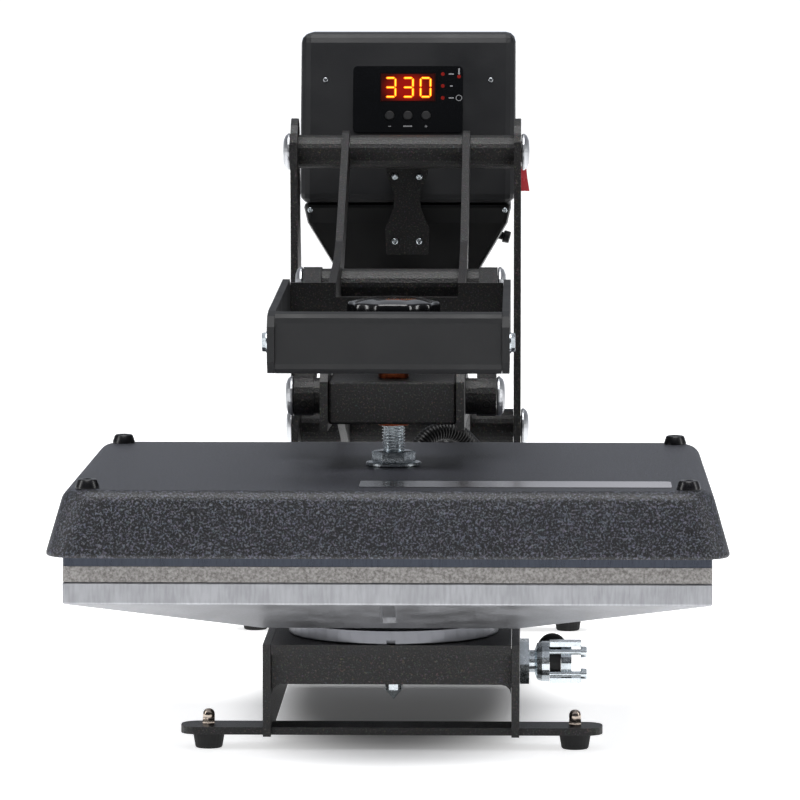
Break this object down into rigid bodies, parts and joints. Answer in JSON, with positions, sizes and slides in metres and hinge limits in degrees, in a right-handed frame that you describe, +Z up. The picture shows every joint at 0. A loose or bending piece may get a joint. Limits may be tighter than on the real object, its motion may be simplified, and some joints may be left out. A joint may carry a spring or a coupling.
{
  "type": "heat press",
  "caption": "Clamshell heat press: toggle linkage and handle close a heated platen on a padded lower platen, with pressure knob and tilted control box.",
  "frame": {"origin": "on the table under the middle of the press, at the centre of its bounding box", "axes": "+X to the press's right, -Y towards the person using it, +Z up"},
  "size_m": [0.5376, 0.902, 0.568],
  "materials": {
    "powder_coat": "coarse textured black powder coat",
    "wrinkle_coat": "fine wrinkle charcoal coat",
    "grip_vinyl": "smooth matte vinyl dip",
    "rubber": "matte",
    "turned_aluminium": "turned satin",
    "cast_aluminium": "machined casting",
    "silicone": "sponge silicone, speckled",
    "zinc": "bright zinc plate",
    "steel": "ground",
    "bronze": "sintered bronze",
    "black_plastic": "satin ABS",
    "panel_gloss": "gloss overlay",
    "knob_gloss": "gloss phenolic",
    "red_window": "tinted window",
    "circuit_board": "laminate",
    "red_plastic": "moulded",
    "glass_fibre": "felted blanket"
  },
  "bodies": {
    "frame": {"side_plate_left": "powder_coat", "side_plate_right": "powder_coat", "shelf_plate": "powder_coat", "rear_crossplate": "powder_coat", "foot_bar_front": "powder_coat", "foot_bar_rear": "powder_coat", "foot_front_left": "rubber", "foot_front_right": "rubber", "foot_rear_left": "rubber", "foot_rear_right": "rubber", "pedestal_disc": "turned_aluminium", "pedestal_lock_bolt": "zinc", "lower_platen": "cast_aluminium", "silicone_pad": "silicone", "handle_shaft": "turned_aluminium", "frame_shaft": "turned_aluminium", "box_bracket": "powder_coat", "control_box_shell": "black_plastic", "control_box_rear_cover": "black_plastic", "panel_overlay": "panel_gloss", "display_window": "red_window", "control_board": "circuit_board", "control_box_tray": "black_plastic", "rocker_bezel": "black_plastic", "gland_locknut": "zinc", "gland_body": "zinc", "gland_bushing": "rubber", "gland_clamp": "zinc"},
    "arm": {"arm_plate_left": "powder_coat", "arm_plate_right": "powder_coat", "cross_block": "powder_coat", "stud_bush_lower": "bronze", "stud_bush_upper": "bronze", "arm_pivot_tube": "powder_coat", "arm_shaft": "steel", "heater_conduit": "black_plastic"},
    "platen_carriage": {"platen_stud": "zinc", "stud_washer": "zinc", "stud_jam_nut": "zinc", "heated_platen": "cast_aluminium", "heater_element": "steel", "insulation_blanket": "glass_fibre", "platen_cover": "wrinkle_coat", "conduit_socket": "black_plastic"},
    "knob": {"star_knob": "knob_gloss"},
    "handle": {"handle_arm_left": "powder_coat", "handle_arm_right": "powder_coat", "handle_side_left": "grip_vinyl", "handle_side_right": "grip_vinyl", "handle_grip": "grip_vinyl", "link_shaft_sleeve": "powder_coat", "link_shaft": "turned_aluminium"},
    "links": {"toggle_link_left": "powder_coat", "toggle_link_right": "powder_coat", "arm_shaft_cap_left": "turned_aluminium", "arm_shaft_cap_right": "turned_aluminium"},
    "button_minus": {"button_minus": "black_plastic"},
    "button_mode": {"button_mode": "black_plastic"},
    "button_plus": {"button_plus": "black_plastic"},
    "power_rocker": {"power_rocker": "red_plastic"}
  },
  "joints": [
    {"name": "arm_pivot", "type": "hinge", "parent": "frame", "child": "arm", "pos_m": [0, 0.264, 0.2101], "axis": [-1, 0, 0], "range_deg": [0, 40], "deforming": ["heater_conduit"]},
    {"name": "handle_pivot", "type": "hinge", "parent": "frame", "child": "handle", "pos_m": [0, 0.214, 0.4628], "axis": [-1, 0, 0], "range_deg": [0, 92.1]},
    {"name": "link_pivot", "type": "hinge", "parent": "handle", "child": "links", "pos_m": [0, 0.004, 0.3555], "axis": [1, 0, 0], "range_deg": [0, 110.9]},
    {"name": "pressure_knob", "type": "hinge", "parent": "arm", "child": "knob", "pos_m": [0, -0.233, 0.345], "axis": [0, 0, 1], "range_deg": [0, 1440]},
    {"name": "platen_travel", "type": "slide", "parent": "arm", "child": "platen_carriage", "axis": [0, 0, 1], "range_m": [0, 0.01016]},
    {"name": "minus_press", "type": "slide", "parent": "frame", "child": "button_minus", "axis": [0, 0.9663, -0.2573], "range_m": [0, 0.001], "stiffness_N_per_m": 400},
    {"name": "mode_press", "type": "slide", "parent": "frame", "child": "button_mode", "axis": [0, 0.9663, -0.2573], "range_m": [0, 0.001], "stiffness_N_per_m": 400},
    {"name": "plus_press", "type": "slide", "parent": "frame", "child": "button_plus", "axis": [0, 0.9663, -0.2573], "range_m": [0, 0.001], "stiffness_N_per_m": 400},
    {"name": "rocker_switch", "type": "hinge", "parent": "frame", "child": "power_rocker", "pos_m": [0.101, 0.293, 0.435], "axis": [0, 1, 0], "range_deg": [0, 16]}
  ],
  "couplings": [
    {"joint": "handle_pivot", "follows": "arm_pivot", "ratio": 2.3018},
    {"joint": "link_pivot", "follows": "arm_pivot", "ratio": 2.7708},
    {"joint": "pressure_knob", "follows": "platen_travel", "rad_per_m": 2473.7}
  ]
}
